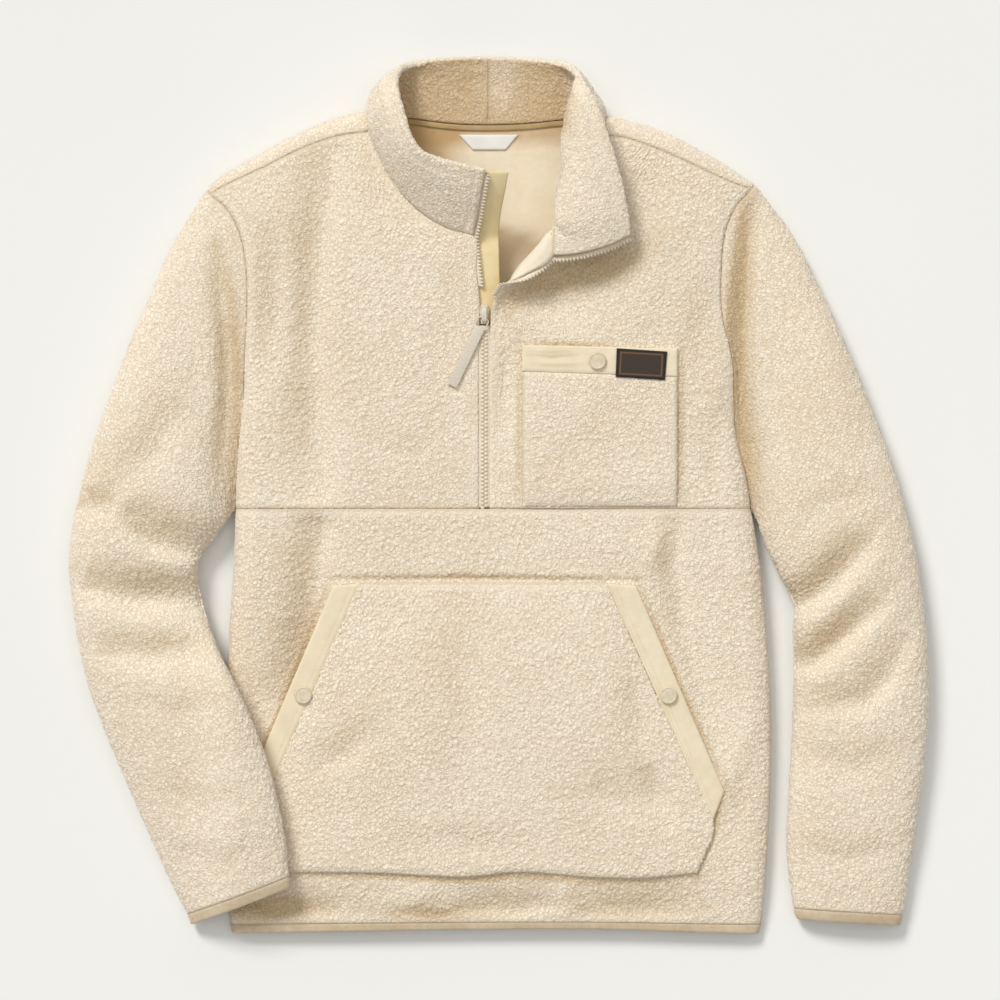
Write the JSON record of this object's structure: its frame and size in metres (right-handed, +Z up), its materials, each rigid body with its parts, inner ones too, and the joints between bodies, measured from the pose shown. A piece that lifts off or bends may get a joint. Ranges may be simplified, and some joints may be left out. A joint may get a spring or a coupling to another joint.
{
  "type": "fleece pullover",
  "caption": "Deep-pile sherpa fleece half-zip pullover with stand collar, chest pocket and kangaroo pocket, laid flat with the neck open.",
  "frame": {"origin": "on the back panel's flat underside, in line with the zip and 8 mm above the chest seam's line", "axes": "+X to the wearer's left, +Y to the collar, +Z up from the surface that the garment lies on"},
  "size_m": [0.7868, 0.8055, 0.0767],
  "materials": {
    "fleece": "cream deep-pile sherpa fleece, smooth knitted reverse",
    "edging": "tan stretch edge binding",
    "woven": "smooth pale woven cloth",
    "zip_resin": "cream moulded zip resin",
    "pull_ribbon": "light grey coated pull tab",
    "snap_resin": "cream snap cap",
    "chest_label": null,
    "neck_label": "off-white woven label, blank"
  },
  "bodies": {
    "garment": {"back": "fleece", "front_lower": "fleece", "front_chest_right": "fleece", "front_chest_left": "fleece", "sleeve_right": "fleece", "sleeve_left": "fleece", "collar_right": "fleece", "collar_left": "fleece", "kangaroo_pocket": "fleece", "chest_pocket": "fleece", "hem_binding": "edging", "cuff_binding_right": "edging", "cuff_binding_left": "edging", "pocket_binding_right": "woven", "pocket_binding_left": "woven", "chest_pocket_binding": "woven", "neck_tape": "woven", "wind_flap": "woven", "zip_chain": "zip_resin", "zip_open_right": "zip_resin", "zip_open_left": "zip_resin", "zip_slider": "zip_resin", "snap_chest": "snap_resin", "snap_pocket_right": "snap_resin", "snap_pocket_left": "snap_resin", "chest_label": "chest_label", "neck_label": "neck_label"},
    "pull": {"zip_pull": "pull_ribbon"}
  },
  "joints": [
    {"name": "pull_hinge", "type": "hinge", "parent": "garment", "child": "pull", "pos_m": [-0.0024, 0.1655, 0.03993], "axis": [-0.9011, 0.4337, 0], "range_deg": [0, 140]}
  ]
}
